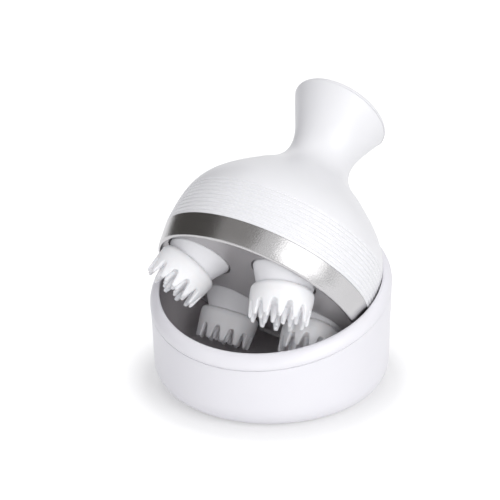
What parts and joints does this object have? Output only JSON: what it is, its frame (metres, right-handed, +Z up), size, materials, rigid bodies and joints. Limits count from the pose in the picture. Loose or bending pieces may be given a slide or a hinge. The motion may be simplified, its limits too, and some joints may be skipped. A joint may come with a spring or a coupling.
{
  "type": "electric scalp massager",
  "caption": "Hand-held scalp massager with turning silicone claws under a domed body, lying at an angle in its open round storage cup.",
  "frame": {"origin": "centre of the storage cup's underside, on the table", "axes": "+Z up; the cup's slanted rim is highest towards +Y; the picture was taken from -Y, a little towards +X"},
  "size_m": [0.114, 0.1336, 0.1368],
  "materials": {
    "cup_white": "gloss",
    "tray_grey": "gloss",
    "foot_rubber": "matte",
    "screw_steel": "satin",
    "body_white": "gloss",
    "board_green": "satin",
    "black_plastic": "matte",
    "band_silver": "satin",
    "plate_silver": "satin",
    "gearbox_grey": "matte",
    "bush_brass": "satin",
    "seal_rubber": "matte",
    "shaft_steel": "satin",
    "motor_steel": "satin",
    "cell_blue": "gloss",
    "button_white": "gloss",
    "gear_white": "matte",
    "hub_white": "satin",
    "claw_silicone": "satin"
  },
  "bodies": {
    "base": {"cup_shell": "cup_white", "rim_ring": "cup_white", "inner_tray": "tray_grey", "rubber_feet": "foot_rubber", "cup_screws": "screw_steel"},
    "massager": {"body_shell": "body_white", "handle_cap": "body_white", "switch_board": "board_green", "switch_housing": "black_plastic", "trim_band": "band_silver", "face_plate": "plate_silver", "gear_tray": "gearbox_grey", "gear_lid": "gearbox_grey", "lower_bushes": "bush_brass", "upper_bushes": "bush_brass", "shaft_seals": "seal_rubber", "gear_pins": "shaft_steel", "body_screws": "screw_steel", "motor_can": "motor_steel", "motor_screws": "screw_steel", "battery_cell": "cell_blue", "battery_holder": "black_plastic", "main_board": "board_green", "charge_socket": "black_plastic", "charge_cover": "body_white"},
    "button": {"power_button": "button_white", "switch_plunger": "black_plastic"},
    "rotor": {"motor_shaft": "shaft_steel", "motor_pinion": "bush_brass"},
    "reducer": {"reduction_gear": "gear_white"},
    "middle": {"middle_gear": "gear_white"},
    "head_front_left": {"shaft_front_left": "shaft_steel", "gear_front_left": "gear_white", "hub_front_left": "hub_white", "screw_front_left": "screw_steel", "claw_front_left": "claw_silicone"},
    "head_front_right": {"shaft_front_right": "shaft_steel", "gear_front_right": "gear_white", "hub_front_right": "hub_white", "screw_front_right": "screw_steel", "claw_front_right": "claw_silicone"},
    "head_back_right": {"shaft_back_right": "shaft_steel", "gear_back_right": "gear_white", "hub_back_right": "hub_white", "screw_back_right": "screw_steel", "claw_back_right": "claw_silicone"},
    "head_back_left": {"shaft_back_left": "shaft_steel", "gear_back_left": "gear_white", "hub_back_left": "hub_white", "screw_back_left": "screw_steel", "claw_back_left": "claw_silicone"}
  },
  "joints": [
    {"name": "lift_out", "type": "slide", "parent": "base", "child": "massager", "axis": [0, 0, 1], "range_m": [0, 0.09]},
    {"name": "button_press", "type": "slide", "parent": "massager", "child": "button", "axis": [-0.2598, -0.7842, -0.5636], "range_m": [0, 0.0005], "stiffness_N_per_m": 800, "springref_m": -0.0015},
    {"name": "front_left_spin", "type": "hinge", "parent": "massager", "child": "head_front_left", "pos_m": [-0.02762, -0.02277, 0.06679], "axis": [0.1949, 0.7326, 0.6521], "continuous": true},
    {"name": "front_right_spin", "type": "hinge", "parent": "massager", "child": "head_front_right", "pos_m": [0.01604, -0.03317, 0.06543], "axis": [0.1949, 0.7326, 0.6521], "continuous": true},
    {"name": "back_right_spin", "type": "hinge", "parent": "massager", "child": "head_back_right", "pos_m": [0.02182, -0.00443, 0.03141], "axis": [0.1949, 0.7326, 0.6521], "continuous": true},
    {"name": "back_left_spin", "type": "hinge", "parent": "massager", "child": "head_back_left", "pos_m": [-0.02184, 0.00597, 0.03277], "axis": [0.1949, 0.7326, 0.6521], "continuous": true},
    {"name": "middle_spin", "type": "hinge", "parent": "massager", "child": "middle", "pos_m": [-0.00095, -0.00627, 0.05562], "axis": [0.1949, 0.7326, 0.6521], "continuous": true},
    {"name": "reducer_spin", "type": "hinge", "parent": "massager", "child": "reducer", "pos_m": [-0.02039, 0.00225, 0.05952], "axis": [0.1949, 0.7326, 0.6521], "continuous": true},
    {"name": "rotor_spin", "type": "hinge", "parent": "massager", "child": "rotor", "pos_m": [0.00022, -0.00188, 0.05953], "axis": [0.1949, 0.7326, 0.6521], "continuous": true}
  ],
  "couplings": [
    {"joint": "front_right_spin", "follows": "front_left_spin", "ratio": 1},
    {"joint": "back_right_spin", "follows": "front_left_spin", "ratio": 1},
    {"joint": "back_left_spin", "follows": "front_left_spin", "ratio": 1},
    {"joint": "middle_spin", "follows": "front_left_spin", "ratio": -0.8},
    {"joint": "reducer_spin", "follows": "front_left_spin", "ratio": 2.5333},
    {"joint": "rotor_spin", "follows": "front_left_spin", "ratio": -8.0222}
  ]
}
